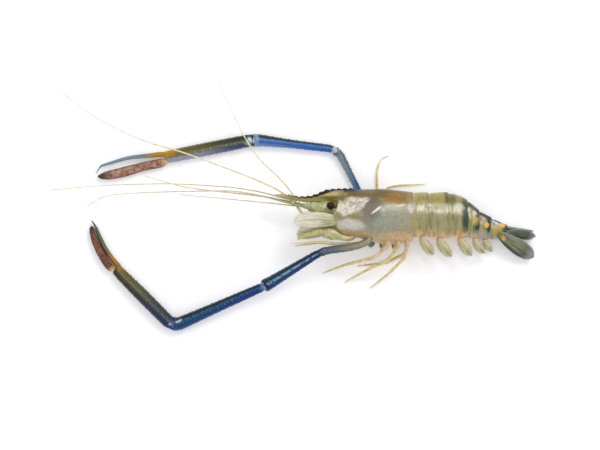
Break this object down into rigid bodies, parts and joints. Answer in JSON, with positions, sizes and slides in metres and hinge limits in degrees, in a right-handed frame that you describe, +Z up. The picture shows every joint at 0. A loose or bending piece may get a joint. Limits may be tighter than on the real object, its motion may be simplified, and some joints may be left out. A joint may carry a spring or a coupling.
{
  "type": "raw shrimp",
  "caption": "Whole raw river prawn lying on its side, with long thin claw arms, feelers, a ringed tail and a tail fan.",
  "frame": {"origin": "centre of the whole outline seen from above, on the surface that the animal lies on", "axes": "+X towards the tail fan, +Y towards the animal's back, +Z up, out of its left side"},
  "size_m": [0.3884, 0.2007, 0.0382],
  "materials": {
    "shell": "wet, satin",
    "tail_ring": "wet, satin",
    "tail_fan": "wet, satin",
    "blue_shell": "wet, satin",
    "claw_tip": "short velvety hair, matt",
    "leg": "wet, satin",
    "feeler": "satin",
    "antennule": "satin",
    "eye": "glossy",
    "eye_stalk": "satin",
    "head_base": "wet, satin",
    "scale": "thin, translucent, satin",
    "paddle": "wet, satin"
  },
  "bodies": {
    "root": {"antenna_base_left": "head_base", "antenna_base_right": "head_base", "antenna_left": "feeler", "antenna_right": "feeler", "antenna_scale_left": "scale", "antenna_scale_right": "scale", "antennule_base_left": "head_base", "antennule_base_right": "head_base", "antennule_left_inner": "antennule", "antennule_left_outer": "antennule", "antennule_right_inner": "antennule", "antennule_right_outer": "antennule", "arm_left_carpus": "blue_shell", "arm_left_dactyl": "claw_tip", "arm_left_ischium": "blue_shell", "arm_left_merus": "blue_shell", "arm_left_palm": "blue_shell", "arm_right_carpus": "blue_shell", "arm_right_dactyl": "claw_tip", "arm_right_ischium": "blue_shell", "arm_right_merus": "blue_shell", "arm_right_palm": "blue_shell", "carapace": "shell", "eye_left": "eye", "eye_right": "eye", "eye_stalk_left": "eye_stalk", "eye_stalk_right": "eye_stalk", "leg_1_left": "leg", "leg_1_right": "leg", "leg_3_left": "leg", "leg_3_right": "leg", "leg_4_left": "leg", "leg_4_right": "leg", "leg_5_left": "leg", "leg_5_right": "leg", "maxilliped_left": "leg", "maxilliped_right": "leg", "pleopod_1_left": "paddle", "pleopod_1_right": "paddle", "pleopod_2_left": "paddle", "pleopod_2_right": "paddle", "pleopod_3_left": "paddle", "pleopod_3_right": "paddle", "pleopod_4_left": "paddle", "pleopod_4_right": "paddle", "pleopod_5_left": "paddle", "pleopod_5_right": "paddle", "somite_1": "tail_ring", "somite_2": "tail_ring", "somite_3": "tail_ring", "somite_4": "tail_ring", "somite_5": "tail_ring", "somite_6": "tail_ring", "telson": "tail_fan", "uropod_inner_left": "tail_fan", "uropod_inner_right": "tail_fan", "uropod_outer_left": "tail_fan", "uropod_outer_right": "tail_fan"}
  },
  "joints": []
}
